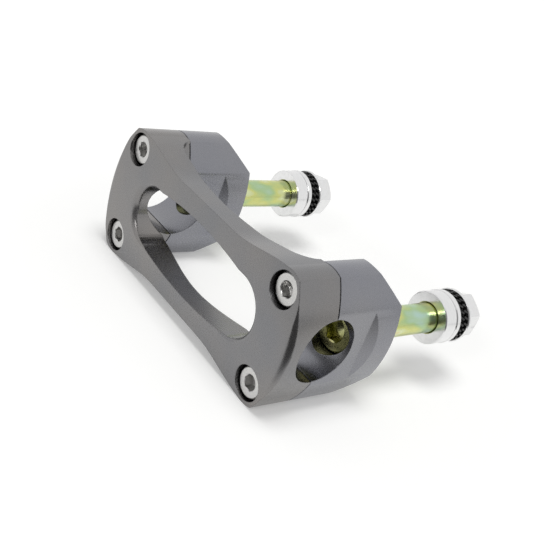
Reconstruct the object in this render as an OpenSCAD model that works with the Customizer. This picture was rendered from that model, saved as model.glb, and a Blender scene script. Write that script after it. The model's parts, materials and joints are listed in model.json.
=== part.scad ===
// Handlebar clamp: one bridge top clamp over two perches, each on its own long bolt.
// Millimetres. +X runs along the handlebar, +Y to the rear, +Z up along the bolts.
// The origin is midway between the bolts, on the plane the perches stand on.

/* [Handlebar] */
// diameter of the handlebar the bores take [22:0.1:32]
bar_diameter = 28.6;
// height of the bar axis above the perch base [28:0.5:45]
bar_height = 34;

/* [Layout] */
// distance between the two perch bolts [90:0.2:130]
bolt_spacing = 107.6;
// distance between the two clamp screws of one perch [38:0.2:50]
screw_spacing = 42.4;
// gap left between top clamp and perches when clamped [0.2:0.1:2]
split_gap = 0.5;

/* [Clamp blocks] */
// half length of a block along the bar at its middle [12:0.1:18]
block_half_length = 14.4;
// radius of the curved block ends in plan [30:1:90]
block_end_radius = 51;
// radius of the block corners in plan [8:0.1:16]
block_corner_radius = 14.6;
// half width of a block across the bar [28:0.1:34]
block_half_width = 29.8;

/* [Top clamp] */
// height of the top face above the bar axis [18:0.1:24]
top_height = 20.8;
// half width of the flat land along the top [6:0.1:16]
land_half_width = 10.7;
// slope of the shoulders beside the land in degrees [0:0.1:8]
shoulder_slope = 3.5;
// thickness of the two rails at the middle [7:0.1:14]
rail_thickness = 9.9;
// how much thicker the rails are near the blocks [0:0.1:6]
rail_growth = 3.4;
// half length over which the rails grow thicker [30:0.5:39]
rail_half_length = 38;
// reach of the curve that carries the rails down to the blocks [4:0.5:12]
rail_curve = 9.5;
// half width of the bridge at its waist [20:0.1:28]
waist_half_width = 24.6;
// half length of the straight waist [10:0.5:30]
waist_half_length = 19.5;
// half width of the window at its middle [12:0.1:19]
window_half_width = 16.3;
// radius of the window ends [10:0.1:15]
window_end_radius = 13.5;
// half length of the window [40:0.1:48]
window_half_length = 45;
// edge round on the block ends and the window ends [1:0.1:4]
end_round = 2.8;

/* [Perches] */
// half length over the milled end flats [10:0.1:14]
flat_half_length = 12;
// depth of the flats below the bar axis [16:0.1:24]
flat_depth = 20.2;
// height of the ramp under each flat [2:0.1:6]
flat_ramp = 4.4;
// height below the bar axis where the flanks turn in [16:0.1:26]
flank_depth = 20.6;
// half width of the foot [13:0.1:22]
foot_half_width = 17;

/* [Clamp screws] */
// screw size, shank diameter [6:0.5:10]
screw_diameter = 8;
// screw length under the head [20:1:34]
screw_length = 30;
// head diameter [10:0.1:16]
screw_head_diameter = 13;
// hex key size of the screws [4:0.5:8]
screw_key = 6;
// depth of the head face under the shoulder [0:0.1:3]
screw_recess = 1.6;
// diameter of the counterbores [13.5:0.1:16]
counterbore_diameter = 14.5;
// radial clearance of the screw in the top clamp [0.1:0.05:0.6]
screw_hole_clearance = 0.4;
// radial clearance modelled in the tapped hole [0.02:0.01:0.2]
tapped_clearance = 0.05;

/* [Perch bolts] */
// thread size [8:0.5:14]
bolt_diameter = 12;
// diameter of the fitted shank above the thread [8:0.1:15]
bolt_shank_diameter = 13;
// length of bolt below the perch base [40:0.5:80]
bolt_reach = 61.4;
// head diameter [16:0.1:22]
bolt_head_diameter = 19.2;
// head height [6:0.1:12]
bolt_head_height = 9;
// depth of the head face under the bottom of the saddle [0.5:0.1:4]
bolt_head_recess = 1.2;
// hex key size of the bolt heads [6:0.5:12]
bolt_key = 10;
// radial clearance of the bolt head in its saddle pocket [0.1:0.05:1.5]
bolt_pocket_clearance = 0.35;
// radial clearance of the bolt in the perch [0.1:0.05:1]
bolt_hole_clearance = 0.3;

/* [Washers and nuts] */
// distance from the perch base to the collar [20:0.5:60]
collar_drop = 35.8;
// collar outer diameter [20:0.1:32]
collar_diameter = 23;
// radial clearance of the collar on the shank [0.1:0.05:1]
collar_clearance = 0.2;
// collar thickness [3:0.1:12]
collar_thickness = 7;
// plate washer outer diameter [20:0.1:32]
plate_diameter = 23.4;
// radial clearance of the washers on the thread [0.1:0.05:1]
washer_clearance = 0.4;
// plate washer thickness [1:0.1:4]
plate_thickness = 2.5;
// toothed washer tip diameter [18:0.1:32]
tooth_tip_diameter = 22.8;
// toothed washer root diameter [16:0.1:28]
tooth_root_diameter = 19;
// toothed washer sheet thickness [0.6:0.05:2]
tooth_sheet = 1;
// height of a toothed washer over its twisted teeth [1:0.1:4]
tooth_height = 2.6;
// twist of the teeth in degrees [20:1:75]
tooth_twist = 62;
// number of teeth [12:1:30]
tooth_count = 26;
// nut flange diameter [20:0.1:30]
flange_diameter = 23.6;
// nut flange thickness [1:0.1:4]
flange_thickness = 2.2;
// nut size across the flats [16:0.5:22]
nut_across_flats = 18;
// nut height with its flange [8:0.1:16]
nut_height = 9.8;
// radial clearance modelled in the nut thread [0.02:0.01:0.2]
nut_clearance = 0.05;

/* [Hidden] */
eps = 0.01;
// the rounds start this far off the walls they run into
round_lead = 0.03;
bar_r = bar_diameter / 2;
bolt_x = bolt_spacing / 2;
screw_y = screw_spacing / 2;
top_z = bar_height + top_height;
perch_top = bar_height - split_gap / 2;
clamp_bottom = bar_height + split_gap / 2;
rail_bottom = top_z - rail_thickness;
corner_y = block_half_width - block_corner_radius;
end_centre = block_half_length - block_end_radius;
screw_face = top_z - (screw_y - land_half_width) * tan(shoulder_slope) - screw_recess;
screw_seat = screw_face - screw_diameter;
screw_end = screw_seat - screw_length;
bolt_face = bar_height - bar_r - bolt_head_recess;
bolt_seat = bolt_face - bolt_head_height;
collar_top = -collar_drop;
plate_top = collar_top - collar_thickness;
tooth_top = plate_top - plate_thickness;
nut_top = tooth_top - 2 * tooth_height;
waist_growth = block_half_width - waist_half_width - 0.2;
window_centre = window_half_length - window_end_radius;
window_side_radius = (pow(window_centre, 2) + pow(window_half_width - window_end_radius, 2))
    / (2 * (window_half_width - window_end_radius));

alu = [0.56, 0.56, 0.58];
steel = [0.80, 0.80, 0.80];
zinc = [0.72, 0.74, 0.46];
black = [0.10, 0.10, 0.11];

// plan outlines

module block_solid(h) {
    intersection() {
        translate([end_centre, 0, 0]) cylinder(r = block_end_radius, h = h, $fn = 180);
        translate([-end_centre, 0, 0]) cylinder(r = block_end_radius, h = h, $fn = 180);
        hull() for (t = [-1, 1])
            translate([0, t * corner_y, 0]) cylinder(r = block_corner_radius, h = h, $fn = 96);
    }
}

function waist_y(x) = let (t = (abs(x) - waist_half_length) / (bolt_x - waist_half_length))
    waist_half_width + waist_growth * (t <= 0 ? 0 : t * t * (3 - 2 * t));

module waist_plan() {
    steps = 28;
    reach = bolt_x - 1;
    upper = [for (i = [0 : steps]) let (x = reach * (1 - 2 * i / steps)) [x, waist_y(x)]];
    polygon(concat(upper, [[-reach - 1, 20], [-reach - 1, -20]],
        [for (i = [steps : -1 : 0]) [upper[i][0], -upper[i][1]]], [[reach + 1, -20], [reach + 1, 20]]));
}

// side view of the space under the bridge: the rails grow thicker outwards and run down
// to the blocks in a curve
function rail_z(x) = rail_bottom - rail_growth * (1 - cos(180 * min(abs(x) / rail_half_length, 1))) / 2;

module under_bridge() {
    steps = 12;
    drop = rail_bottom - rail_growth - clamp_bottom + 0.5;
    side = concat([for (i = [0 : steps]) let (x = rail_half_length * i / steps) [x, rail_z(x)]],
        [for (i = [1 : 9]) let (a = 90 * i / 9)
            [rail_half_length + rail_curve * sin(a), clamp_bottom - 0.5 + drop * cos(a)]]);
    rotate([90, 0, 0]) translate([0, 0, -40]) linear_extrude(height = 80)
        polygon(concat([for (i = [len(side) - 1 : -1 : 1]) [-side[i][0], side[i][1]]], side,
            [[rail_half_length + rail_curve, clamp_bottom - 5], [-rail_half_length - rail_curve, clamp_bottom - 5]]));
}

function window_y(x) = window_half_width - window_side_radius
    + sqrt(pow(window_side_radius, 2) - x * x);

module window_plan() {
    sides = 12;
    ends = 24;
    upper = [for (i = [1 : sides - 1]) let (x = window_centre * (1 - 2 * i / sides)) [x, window_y(x)]];
    left = [for (i = [0 : ends]) let (a = 90 + 180 * i / ends)
        [-window_centre + window_end_radius * cos(a), window_end_radius * sin(a)]];
    polygon(concat(upper, left, [for (p = upper) [-p[0], -p[1]]], [for (p = left) [-p[0], -p[1]]]));
}

// solids used by several nodes

// edge round along a curved wall: turned about the centre of a slightly different arc,
// so that it is widest on the bar axis and fades out to the sides
module outer_round(s) {
    rho = block_end_radius + 12;
    r = end_round;
    arc = [for (j = [0 : 8]) let (a = 90 - 90 * j / 8) [rho - r + r * sin(a), top_z - r + r * cos(a)]];
    intersection() {
        translate([s * (bolt_x + block_half_length + round_lead - rho), 0, 0]) rotate_extrude($fn = 180)
            polygon(concat(arc, [[rho - r, top_z + 3], [rho + 8, top_z + 3], [rho + 8, top_z - r]]));
        translate([s * (bolt_x + 22), 0, top_z]) cube([40, 70, 20], center = true);
    }
}

module window_round(s) {
    rho = window_end_radius - 0.9;
    r = end_round;
    arc = [for (j = [0 : 8]) let (a = 90 - 90 * j / 8) [rho + r - r * sin(a), top_z - r + r * cos(a)]];
    translate([s * (window_half_length - round_lead - rho), 0, 0]) rotate_extrude($fn = 96)
        polygon(concat([[0, top_z - r]], arc, [[rho + r, top_z + 3], [0, top_z + 3]]));
}

module bar_bore(x) {
    translate([x, 0, bar_height]) rotate([0, 90, 0])
        cylinder(r = bar_r, h = 60, center = true, $fn = 96);
}

module hex_prism(af, h) {
    cylinder(r = af / 2 / cos(30), h = h, $fn = 6);
}

module clamp_screw(sx, sy) {
    translate([sx * bolt_x, sy * screw_y, 0]) difference() {
        union() {
            translate([0, 0, screw_end]) cylinder(r1 = screw_diameter / 2 - 0.8, r2 = screw_diameter / 2, h = 0.8, $fn = 40);
            translate([0, 0, screw_end + 0.8]) cylinder(r = screw_diameter / 2, h = screw_length - 0.8 + eps, $fn = 40);
            translate([0, 0, screw_seat]) cylinder(r = screw_head_diameter / 2, h = screw_diameter - 0.6, $fn = 64);
            translate([0, 0, screw_face - 0.6]) cylinder(r1 = screw_head_diameter / 2, r2 = screw_head_diameter / 2 - 0.6, h = 0.6, $fn = 64);
        }
        translate([0, 0, screw_face - 4.2]) rotate(sy * 12 + 8) hex_prism(screw_key, 5);
        translate([0, 0, screw_face - 5.2]) cylinder(r1 = 0, r2 = screw_key / 2, h = 1.01, $fn = 30);
        translate([0, 0, screw_face - 0.4]) cylinder(r1 = screw_key / 2, r2 = screw_key / 2 + 0.8, h = 0.8, $fn = 48);
    }
}

module perch(sx) {
    translate([sx * bolt_x, 0, 0]) difference() {
        block_solid(perch_top);
        // end flats with the ramp below them
        for (s = [-1, 1]) rotate([90, 0, 0]) translate([0, 0, -40]) linear_extrude(height = 80)
            polygon([[s * flat_half_length, bar_height + 5], [s * 30, bar_height + 5],
                [s * 30, bar_height - flat_depth - flat_ramp],
                [s * (block_half_length + 0.01), bar_height - flat_depth - flat_ramp],
                [s * flat_half_length, bar_height - flat_depth]]);
        // flanks turn in to the foot
        for (s = [-1, 1]) rotate([90, 0, 90]) translate([0, 0, -40]) linear_extrude(height = 80)
            polygon([[s * block_half_width + s * 0.2, bar_height - flank_depth + 0.2],
                [s * foot_half_width, 0], [s * foot_half_width, -5], [s * 60, -5],
                [s * 60, bar_height - flank_depth + 0.2]]);
        bar_bore(0);
        // saddle pocket for the bolt head and the bolt hole
        translate([0, 0, bolt_seat]) cylinder(r = bolt_head_diameter / 2 + bolt_pocket_clearance, h = 30, $fn = 64);
        translate([0, 0, -1]) cylinder(r = bolt_shank_diameter / 2 + bolt_hole_clearance, h = 30, $fn = 64);
        translate([0, 0, -eps]) cylinder(r1 = bolt_shank_diameter / 2 + bolt_hole_clearance + 0.6,
            r2 = bolt_shank_diameter / 2 + bolt_hole_clearance, h = 0.6, $fn = 64);
        // tapped holes
        for (s = [-1, 1]) translate([0, s * screw_y, screw_end - 2]) {
            cylinder(r = screw_diameter / 2 + tapped_clearance, h = 60, $fn = 40);
            translate([0, 0, -1.6]) cylinder(r1 = 0.2, r2 = screw_diameter / 2 + tapped_clearance, h = 1.61, $fn = 40);
        }
    }
}

module stud_bolt(sx) {
    r = bolt_diameter / 2;
    shank = bolt_shank_diameter / 2;
    translate([sx * bolt_x, 0, 0]) difference() {
        rotate_extrude($fn = 64) polygon([[0, -bolt_reach], [r - 1, -bolt_reach], [r, -bolt_reach + 1],
            [r, plate_top + 1], [shank, plate_top + 1 + shank - r],
            [shank, bolt_seat - 0.01], [bolt_head_diameter / 2, bolt_seat],
            [bolt_head_diameter / 2, bolt_face - 0.8], [bolt_head_diameter / 2 - 0.8, bolt_face],
            [0, bolt_face]]);
        translate([0, 0, bolt_face - 5]) rotate(10) hex_prism(bolt_key, 6);
        translate([0, 0, bolt_face - 6.6]) cylinder(r1 = 0, r2 = bolt_key / 2, h = 1.61, $fn = 30);
        translate([0, 0, bolt_face - 0.5]) cylinder(r1 = bolt_key / 2, r2 = bolt_key / 2 + 1, h = 1, $fn = 48);
    }
}

module ring(outer, inner, top, thick, edge) {
    rotate_extrude($fn = 80) polygon([[inner + edge, top - thick], [outer - edge, top - thick],
        [outer, top - thick + edge], [outer, top - edge], [outer - edge, top],
        [inner + edge, top], [inner, top - edge], [inner, top - thick + edge]]);
}

module collar(sx) {
    translate([sx * bolt_x, 0, 0])
        ring(collar_diameter / 2, bolt_shank_diameter / 2 + collar_clearance, collar_top, collar_thickness, 0.4);
}

module plate_washer(sx) {
    translate([sx * bolt_x, 0, 0])
        ring(plate_diameter / 2, bolt_diameter / 2 + washer_clearance, plate_top, plate_thickness, 0.3);
}

// sheet ring with teeth twisted out of its plane, trimmed to its height
module lock_washer(sx, top) {
    tip = tooth_tip_diameter / 2;
    root = tooth_root_diameter / 2;
    pitch = 2 * PI * (root - 0.8) / tooth_count;
    blade = pitch * 1.25;
    translate([sx * bolt_x, 0, top - tooth_height / 2]) difference() {
        intersection() {
            union() {
                cylinder(r = root, h = tooth_sheet, center = true, $fn = 72);
                for (i = [0 : tooth_count - 1]) rotate(i * 360 / tooth_count)
                    translate([root - 0.8, 0, 0]) rotate([tooth_twist, 0, 0])
                        translate([0, -blade / 2, -tooth_sheet * 0.4])
                            cube([tip - root + 0.8, blade, tooth_sheet * 0.8]);
            }
            cylinder(r = tip + 1, h = tooth_height, center = true, $fn = 36);
        }
        cylinder(r = bolt_diameter / 2 + washer_clearance, h = 10, center = true, $fn = 64);
    }
}

module flange_nut(sx) {
    bottom = nut_top - nut_height;
    hexh = nut_height - flange_thickness;
    translate([sx * bolt_x, 0, 0]) difference() {
        union() {
            intersection() {
                translate([0, 0, bottom]) rotate(sx * 8 + 20) hex_prism(nut_across_flats, nut_height - 0.5);
                translate([0, 0, bottom]) cylinder(r1 = nut_across_flats / 2 + 0.1,
                    r2 = nut_across_flats / 2 + 0.1 + nut_height * 1.8, h = nut_height, $fn = 64);
            }
            rotate_extrude($fn = 80) polygon([[0, nut_top - flange_thickness - 1.4],
                [nut_across_flats / 2, nut_top - flange_thickness - 1.4],
                [flange_diameter / 2 - 0.4, nut_top - flange_thickness + 0.6],
                [flange_diameter / 2, nut_top - flange_thickness + 1.1],
                [flange_diameter / 2, nut_top - 0.4], [flange_diameter / 2 - 0.4, nut_top], [0, nut_top]]);
        }
        translate([0, 0, bottom - 1]) cylinder(r = bolt_diameter / 2 + nut_clearance, h = nut_height + 2, $fn = 64);
        translate([0, 0, bottom - eps]) cylinder(r1 = bolt_diameter / 2 + 0.9, r2 = bolt_diameter / 2, h = 0.9, $fn = 64);
    }
}

// nodes

module top_clamp() {
    color(alu) difference() {
        intersection() {
            union() {
                difference() {
                    translate([0, 0, clamp_bottom]) linear_extrude(height = top_z - clamp_bottom + 1) waist_plan();
                    under_bridge();
                }
                for (s = [-1, 1]) translate([s * bolt_x, 0, clamp_bottom])
                    block_solid(top_z - clamp_bottom + 1);
            }
            // flat land and sloping shoulders
            rotate([90, 0, 90]) translate([0, 0, -80]) linear_extrude(height = 160)
                polygon([[-40, 0], [40, 0], [40, top_z - (40 - land_half_width) * tan(shoulder_slope)],
                    [land_half_width, top_z], [-land_half_width, top_z],
                    [-40, top_z - (40 - land_half_width) * tan(shoulder_slope)]]);
        }
        translate([0, 0, bar_height]) linear_extrude(height = 60) window_plan();
        for (s = [-1, 1]) {
            bar_bore(s * bolt_x);
            outer_round(s);
            window_round(s);
            for (t = [-1, 1]) translate([s * bolt_x, t * screw_y, 0]) {
                translate([0, 0, screw_seat]) cylinder(r = counterbore_diameter / 2, h = 30, $fn = 72);
                cylinder(r = screw_diameter / 2 + screw_hole_clearance, h = 80, $fn = 48);
            }
        }
    }
}

module perch_right() { color(alu) perch(1); }
module perch_left() { color(alu) perch(-1); }
module clamp_screw_right_rear() { color(steel) clamp_screw(1, 1); }
module clamp_screw_right_front() { color(steel) clamp_screw(1, -1); }
module clamp_screw_left_rear() { color(steel) clamp_screw(-1, 1); }
module clamp_screw_left_front() { color(steel) clamp_screw(-1, -1); }
module stud_bolt_right() { color(zinc) stud_bolt(1); }
module stud_bolt_left() { color(zinc) stud_bolt(-1); }
module collar_right() { color(steel) collar(1); }
module collar_left() { color(steel) collar(-1); }
module plate_washer_right() { color(steel) plate_washer(1); }
module plate_washer_left() { color(steel) plate_washer(-1); }
module lock_washer_right_upper() { color(black) lock_washer(1, tooth_top); }
module lock_washer_right_lower() { color(black) lock_washer(1, tooth_top - tooth_height); }
module lock_washer_left_upper() { color(black) lock_washer(-1, tooth_top); }
module lock_washer_left_lower() { color(black) lock_washer(-1, tooth_top - tooth_height); }
module flange_nut_right() { color(steel) flange_nut(1); }
module flange_nut_left() { color(steel) flange_nut(-1); }

top_clamp();
perch_right();
perch_left();
clamp_screw_right_rear();
clamp_screw_right_front();
clamp_screw_left_rear();
clamp_screw_left_front();
stud_bolt_right();
stud_bolt_left();
collar_right();
collar_left();
plate_washer_right();
plate_washer_left();
lock_washer_right_upper();
lock_washer_right_lower();
lock_washer_left_upper();
lock_washer_left_lower();
flange_nut_right();
flange_nut_left();
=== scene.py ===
import json
import math

import bpy
from mathutils import Matrix, Vector

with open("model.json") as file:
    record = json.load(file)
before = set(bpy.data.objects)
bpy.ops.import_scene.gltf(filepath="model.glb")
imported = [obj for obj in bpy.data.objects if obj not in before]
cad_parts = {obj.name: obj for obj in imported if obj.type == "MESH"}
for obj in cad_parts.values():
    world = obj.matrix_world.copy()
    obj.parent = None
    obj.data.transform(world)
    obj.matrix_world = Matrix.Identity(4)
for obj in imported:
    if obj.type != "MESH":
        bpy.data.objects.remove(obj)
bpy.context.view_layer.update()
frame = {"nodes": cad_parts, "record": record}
nodes = frame["nodes"]
scene = bpy.context.scene
scene.view_settings.view_transform = "Standard"

# sizes in metres

MM = 0.001
# the clamp lies on its -Y face, as in the photograph
FLOOR_Y = -29.8 * MM
FLOOR_HALF = 1.6
EDGE_BREAK = 0.35 * MM
EDGE_BROKEN = ("top_clamp", "perch_right", "perch_left")
PERCHES = ("perch_right", "perch_left")

# angles at which faces count as one flat face, and edges are broken or stay sharp

FLAT_ANGLE = math.radians(1.2)
BREAK_ANGLE = math.radians(25)
SMOOTH_ANGLE = math.radians(28)

# camera, fitted to the photograph

CAMERA_LENS = 61.393
CAMERA_SENSOR = 36.0
CAMERA_PLACE = (0.25295, 0.17188, 0.26942)
CAMERA_RIGHT = Vector((0.56232415, 0.31997439, -0.76250111))
CAMERA_DOWN = Vector((0.5455951, -0.83647453, 0.05134534))
CAMERA_FORWARD = Vector((-0.62138356, -0.4448896, -0.64494629))

# light levels

WORLD_LIGHT = 0.55
# white of the floor that the camera sees, near the object and far from it; the lower white near the
# object is painted shade around it
FLOOR_WHITE_NEAR_PAINTED_SHADE = 0.25
FLOOR_WHITE_FAR = 0.65
# painted reflection: glow of the floor that only the metal mirrors
FLOOR_PAINTED_REFLECTION_WHITE = 0.33
KEY_PLACE = (0.07, 0.95, 0.09)
GLINT_PLACE = (0.29, 0.47, 0.62)


camera_data = bpy.data.cameras.new("camera")
camera_data.sensor_width = CAMERA_SENSOR
camera_data.lens = CAMERA_LENS
camera_data.clip_start = 0.01
camera_data.clip_end = 20.0
camera = bpy.data.objects.new("camera", camera_data)
scene.collection.objects.link(camera)
turn = Matrix((CAMERA_RIGHT, -CAMERA_DOWN, -CAMERA_FORWARD)).transposed()
camera.matrix_world = Matrix.Translation(CAMERA_PLACE) @ turn.to_4x4()
scene.camera = camera


# node helpers

def add(tree, kind, **values):
    made = tree.nodes.new(kind)
    for key, value in values.items():
        setattr(made, key, value)
    return made


def new_material(name, metallic):
    material = bpy.data.materials.new(name)
    material.use_nodes = True
    tree = material.node_tree
    tree.nodes.clear()
    output = add(tree, "ShaderNodeOutputMaterial")
    shader = add(tree, "ShaderNodeBsdfPrincipled")
    shader.inputs["Metallic"].default_value = metallic
    tree.links.new(shader.outputs["BSDF"], output.inputs["Surface"])
    return material, tree, shader


def position(tree):
    return add(tree, "ShaderNodeTexCoord").outputs["Object"]


def noise(tree, vector, scale, detail, rough=0.5):
    made = add(tree, "ShaderNodeTexNoise")
    made.inputs["Scale"].default_value = scale
    made.inputs["Detail"].default_value = detail
    made.inputs["Roughness"].default_value = rough
    tree.links.new(vector, made.inputs["Vector"])
    return made.outputs["Fac"]


def stretch(tree, vector, scale, place=(0, 0, 0)):
    made = add(tree, "ShaderNodeMapping")
    made.inputs["Scale"].default_value = scale
    made.inputs["Location"].default_value = place
    tree.links.new(vector, made.inputs["Vector"])
    return made.outputs["Vector"]


def ramp(tree, factor, stops):
    made = add(tree, "ShaderNodeValToRGB")
    elements = made.color_ramp.elements
    while len(elements) < len(stops):
        elements.new(0.5)
    for element, (place, colour) in zip(elements, stops):
        element.position = place
        element.color = (*colour, 1.0)
    tree.links.new(factor, made.inputs["Fac"])
    return made.outputs["Color"]


def spread(tree, factor, low, high, start=0.0, end=1.0):
    made = add(tree, "ShaderNodeMapRange")
    made.inputs["From Min"].default_value = start
    made.inputs["From Max"].default_value = end
    made.inputs["To Min"].default_value = low
    made.inputs["To Max"].default_value = high
    tree.links.new(factor, made.inputs["Value"])
    return made.outputs["Result"]


def calculate(tree, operation, first, second):
    made = add(tree, "ShaderNodeMath", operation=operation)
    tree.links.new(first, made.inputs[0])
    tree.links.new(second, made.inputs[1])
    return made.outputs[0]


def along(tree, vector, direction):
    made = add(tree, "ShaderNodeVectorMath", operation="DOT_PRODUCT")
    made.inputs[1].default_value = direction
    tree.links.new(vector, made.inputs[0])
    return made.outputs["Value"]


def surface(tree, shader, fine, roughness, relief, round_edge=0.0):
    tree.links.new(spread(tree, fine, *roughness), shader.inputs["Roughness"])
    bump = add(tree, "ShaderNodeBump")
    if round_edge:
        softened = add(tree, "ShaderNodeBevel", samples=4)
        softened.inputs["Radius"].default_value = round_edge
        tree.links.new(softened.outputs["Normal"], bump.inputs["Normal"])
    bump.inputs["Strength"].default_value = 1.0
    bump.inputs["Distance"].default_value = relief
    tree.links.new(fine, bump.inputs["Height"])
    tree.links.new(bump.outputs["Normal"], shader.inputs["Normal"])


def grey(value):
    return (value, value, value)


# materials

def anodised(name, cool, warm):
    material, tree, shader = new_material(name, 1.0)
    where = position(tree)
    cloud = noise(tree, where, 28.0, 2.0)
    grain = noise(tree, where, 1900.0, 3.0, 0.7)
    tone = ramp(tree, cloud, [(0.30, cool), (0.70, warm)])
    speckle = ramp(tree, grain, [(0.25, grey(0.91)), (0.75, grey(1.10))])
    mixed = add(tree, "ShaderNodeMixRGB", blend_type="MULTIPLY")
    mixed.inputs["Fac"].default_value = 1.0
    tree.links.new(tone, mixed.inputs["Color1"])
    tree.links.new(speckle, mixed.inputs["Color2"])
    tree.links.new(mixed.outputs["Color"], shader.inputs["Base Color"])
    surface(tree, shader, grain, (0.20, 0.34), 0.006 * MM, 0.55 * MM)
    return material


def steel(name, metallic, scale, wide, dark, light, roughness, relief, round_edge=0.0):
    material, tree, shader = new_material(name, metallic)
    where = position(tree)
    if wide:
        where = stretch(tree, where, wide)
    fine = noise(tree, where, scale, 3.0)
    tone = ramp(tree, fine, [(0.3, dark), (0.7, light)])
    tree.links.new(tone, shader.inputs["Base Color"])
    surface(tree, shader, fine, roughness, relief, round_edge)
    return material


def zinc():
    material, tree, shader = new_material("zinc_plated", 1.0)
    where = position(tree)
    patches = noise(tree, stretch(tree, where, (1.0, 1.0, 0.55), (0.013, 0.004, 0.0)), 95.0, 2.0)
    tone = ramp(tree, patches, [
        (0.30, (0.42, 0.58, 0.50)),
        (0.43, (0.38, 0.52, 0.27)),
        (0.54, (0.56, 0.58, 0.21)),
        (0.63, (0.62, 0.68, 0.42)),
        (0.74, (0.66, 0.46, 0.17)),
    ])
    # the bolt heads are more yellow than the shanks
    parts = add(tree, "ShaderNodeSeparateXYZ")
    tree.links.new(where, parts.inputs[0])
    head = add(tree, "ShaderNodeMixRGB")
    head.inputs["Color2"].default_value = (0.52, 0.48, 0.20, 1.0)
    tree.links.new(spread(tree, parts.outputs["Z"], 0.0, 0.75, 4 * MM, 12 * MM), head.inputs["Fac"])
    tree.links.new(tone, head.inputs["Color1"])
    tree.links.new(head.outputs["Color"], shader.inputs["Base Color"])
    surface(tree, shader, noise(tree, where, 1500.0, 2.0), (0.16, 0.30), 0.008 * MM)
    return material


finishes = {
    "anodised_aluminium": anodised(
        "anodised_aluminium", (0.196, 0.197, 0.205), (0.236, 0.223, 0.213)),
    "stainless_screw": steel(
        "stainless_screw", 1.0, 1800.0, None, grey(0.50), (0.63, 0.62, 0.60),
        (0.22, 0.38), 0.012 * MM, 0.35 * MM),
    "zinc_plated": zinc(),
    "turned_steel": steel(
        "turned_steel", 1.0, 500.0, (1.0, 1.0, 12.0), grey(0.70), grey(0.78),
        (0.12, 0.24), 0.006 * MM, 0.30 * MM),
    "black_steel": steel(
        "black_steel", 0.6, 1200.0, None, grey(0.018), grey(0.05),
        (0.35, 0.55), 0.020 * MM),
}
for entry in frame["record"]["subparts"]:
    mesh = nodes[entry["node"]].data
    mesh.materials.clear()
    mesh.materials.append(finishes[entry["material_slot"]])
perch_finish = anodised("anodised_aluminium_perch", (0.222, 0.226, 0.252), (0.246, 0.246, 0.260))
for name in PERCHES:
    nodes[name].data.materials[0] = perch_finish


# edge breaks and smooth shading on the carried-over solids

def smooth_group():
    group = bpy.data.node_groups.new("smooth_by_angle", "GeometryNodeTree")
    group.interface.new_socket("Geometry", in_out="INPUT", socket_type="NodeSocketGeometry")
    group.interface.new_socket("Geometry", in_out="OUTPUT", socket_type="NodeSocketGeometry")
    start = add(group, "NodeGroupInput")
    end = add(group, "NodeGroupOutput")
    faces = add(group, "GeometryNodeSetShadeSmooth")
    edges = add(group, "GeometryNodeSetShadeSmooth", domain="EDGE")
    edges.inputs["Shade Smooth"].default_value = False
    angle = add(group, "GeometryNodeInputMeshEdgeAngle")
    sharp = add(group, "FunctionNodeCompare", data_type="FLOAT", operation="GREATER_THAN")
    sharp.inputs[1].default_value = SMOOTH_ANGLE
    group.links.new(angle.outputs["Unsigned Angle"], sharp.inputs[0])
    group.links.new(start.outputs[0], faces.inputs["Geometry"])
    group.links.new(faces.outputs["Geometry"], edges.inputs["Geometry"])
    group.links.new(sharp.outputs["Result"], edges.inputs["Selection"])
    group.links.new(edges.outputs["Geometry"], end.inputs[0])
    return group


smooth_by_angle = smooth_group()
for name, piece in nodes.items():
    weld = piece.modifiers.new("weld", "WELD")
    weld.merge_threshold = 0.002 * MM
    if name in EDGE_BROKEN:
        flat = piece.modifiers.new("flat_faces", "DECIMATE")
        flat.decimate_type = "DISSOLVE"
        flat.angle_limit = FLAT_ANGLE
        edge = piece.modifiers.new("edge_break", "BEVEL")
        edge.width = EDGE_BREAK
        edge.segments = 2
        edge.limit_method = "ANGLE"
        edge.angle_limit = BREAK_ANGLE
        edge.use_clamp_overlap = True
        edge.harden_normals = False
    smooth = piece.modifiers.new("smooth", "NODES")
    smooth.node_group = smooth_by_angle
    if name in EDGE_BROKEN:
        # the normals follow the large faces, so that flat faces look flat
        even = piece.modifiers.new("even_normals", "WEIGHTED_NORMAL")
        even.keep_sharp = True
        even.weight = 100


# floor

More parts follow.
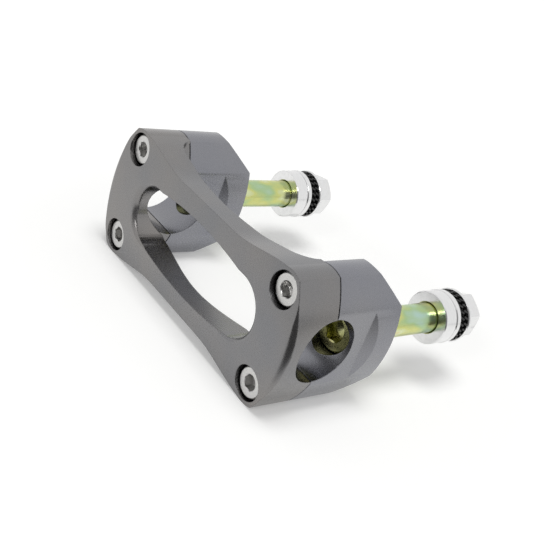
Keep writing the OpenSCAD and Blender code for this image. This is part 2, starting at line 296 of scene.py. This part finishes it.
def floor_material():
    material = bpy.data.materials.new("pale_floor")
    material.use_nodes = True
    tree = material.node_tree
    tree.nodes.clear()
    path = add(tree, "ShaderNodeLightPath")
    where = position(tree)
    # painted reflection: towards the viewer's side, glossy rays see the floor dark instead of white,
    # so the metal mirrors a dark band that the camera does not see
    ahead = along(tree, where, (0.7071, 0.0, 0.7071))
    # painted shade: the floor's glow for the camera is lower near the object than far from it
    away = add(tree, "ShaderNodeVectorMath", operation="LENGTH")
    tree.links.new(where, away.inputs[0])
    camera_white_painted_shade = spread(tree, away.outputs["Value"], FLOOR_WHITE_NEAR_PAINTED_SHADE, FLOOR_WHITE_FAR, 0.12, 0.45)
    from_camera = calculate(tree, "MULTIPLY", path.outputs["Is Camera Ray"], camera_white_painted_shade)
    painted_reflection_glow = spread(tree, ahead, FLOOR_PAINTED_REFLECTION_WHITE, 0.0, 0.100, 0.125)
    painted_reflection_emission = calculate(tree, "MULTIPLY", path.outputs["Is Glossy Ray"], painted_reflection_glow)
    glow = add(tree, "ShaderNodeEmission")
    glow.inputs["Color"].default_value = (1.0, 1.0, 1.0, 1.0)
    tree.links.new(calculate(tree, "ADD", from_camera, painted_reflection_emission), glow.inputs["Strength"])
    # painted dark reflection: past that line, the floor's colour turns dark for glossy rays only
    painted_dark_reflection_mask = spread(tree, ahead, 0.0, 1.0, 0.100, 0.130)
    painted_dark_reflection = calculate(tree, "MULTIPLY", path.outputs["Is Glossy Ray"], painted_dark_reflection_mask)
    diffuse = add(tree, "ShaderNodeBsdfDiffuse")
    floor_colour_with_painted_dark_reflection = ramp(tree, painted_dark_reflection, [(0.0, (0.80, 0.80, 0.79)), (1.0, grey(0.12))])
    tree.links.new(floor_colour_with_painted_dark_reflection, diffuse.inputs["Color"])
    both = add(tree, "ShaderNodeAddShader")
    tree.links.new(diffuse.outputs["BSDF"], both.inputs[0])
    tree.links.new(glow.outputs["Emission"], both.inputs[1])
    # clear from behind, so that other views see the object
    clear = add(tree, "ShaderNodeBsdfTransparent")
    side = add(tree, "ShaderNodeNewGeometry")
    choose = add(tree, "ShaderNodeMixShader")
    tree.links.new(side.outputs["Backfacing"], choose.inputs["Fac"])
    tree.links.new(both.outputs["Shader"], choose.inputs[1])
    tree.links.new(clear.outputs["BSDF"], choose.inputs[2])
    output = add(tree, "ShaderNodeOutputMaterial")
    tree.links.new(choose.outputs["Shader"], output.inputs["Surface"])
    return material


floor_mesh = bpy.data.meshes.new("floor")
corners = [
    (-FLOOR_HALF, FLOOR_Y, -FLOOR_HALF),
    (-FLOOR_HALF, FLOOR_Y, FLOOR_HALF),
    (FLOOR_HALF, FLOOR_Y, FLOOR_HALF),
    (FLOOR_HALF, FLOOR_Y, -FLOOR_HALF),
]
floor_mesh.from_pydata(corners, [], [(0, 1, 2, 3)])
floor_mesh.update()
floor_mesh.materials.append(floor_material())
floor = bpy.data.objects.new("floor", floor_mesh)
scene.collection.objects.link(floor)
floor.visible_diffuse = False
floor.visible_shadow = False


# light

world = bpy.data.worlds.new("studio")
world.use_nodes = True
scene.world = world
sky = world.node_tree
sky.nodes.clear()
sky_path = add(sky, "ShaderNodeLightPath")
sky_light = add(sky, "ShaderNodeBackground")
sky_light.inputs["Strength"].default_value = WORLD_LIGHT
# the camera sees a white backdrop; glossy rays see the world brighter than the light it gives, a
# painted reflection on the metal
sky_backdrop_and_painted_reflection = add(sky, "ShaderNodeBackground")
sky_backdrop_and_painted_reflection.inputs["Strength"].default_value = 1.0
sky_mix = add(sky, "ShaderNodeMixShader")
seen = calculate(sky, "MAXIMUM", sky_path.outputs["Is Camera Ray"], sky_path.outputs["Is Glossy Ray"])
sky.links.new(seen, sky_mix.inputs["Fac"])
sky.links.new(sky_light.outputs["Background"], sky_mix.inputs[1])
sky.links.new(sky_backdrop_and_painted_reflection.outputs["Background"], sky_mix.inputs[2])
sky_output = add(sky, "ShaderNodeOutputWorld")
sky.links.new(sky_mix.outputs["Shader"], sky_output.inputs["Surface"])

# painted dark reflection: a dark patch of the world a little above the table, which only glossy rays
# see, so only the metal mirrors it
painted_dark_reflection_direction = Vector((0.70, 0.10, 0.70)).normalized()
towards = along(sky, add(sky, "ShaderNodeTexCoord").outputs["Generated"], painted_dark_reflection_direction)
painted_reflection_shade = ramp(sky, towards, [(0.70, grey(1.0)), (0.86, grey(0.25))])
painted_reflection_darkening = add(sky, "ShaderNodeMixRGB")
sky.links.new(sky_path.outputs["Is Glossy Ray"], painted_reflection_darkening.inputs["Fac"])
painted_reflection_darkening.inputs["Color1"].default_value = (1.0, 1.0, 1.0, 1.0)
sky.links.new(painted_reflection_shade, painted_reflection_darkening.inputs["Color2"])
sky.links.new(painted_reflection_darkening.outputs["Color"], sky_backdrop_and_painted_reflection.inputs["Color"])


def area(name, place, size, power):
    data = bpy.data.lights.new(name, "AREA")
    data.shape = "DISK"
    data.size = size
    data.energy = power
    lamp = bpy.data.objects.new(name, data)
    scene.collection.objects.link(lamp)
    lamp.location = place
    lamp.visible_camera = False
    lamp.rotation_mode = "QUATERNION"
    lamp.rotation_quaternion = (-Vector(place)).to_track_quat("-Z", "Y")
    return lamp


key_lamp = area("key", KEY_PLACE, 0.46, 4.9)
key_lamp.visible_glossy = False
area("glint", GLINT_PLACE, 0.18, 0.6)
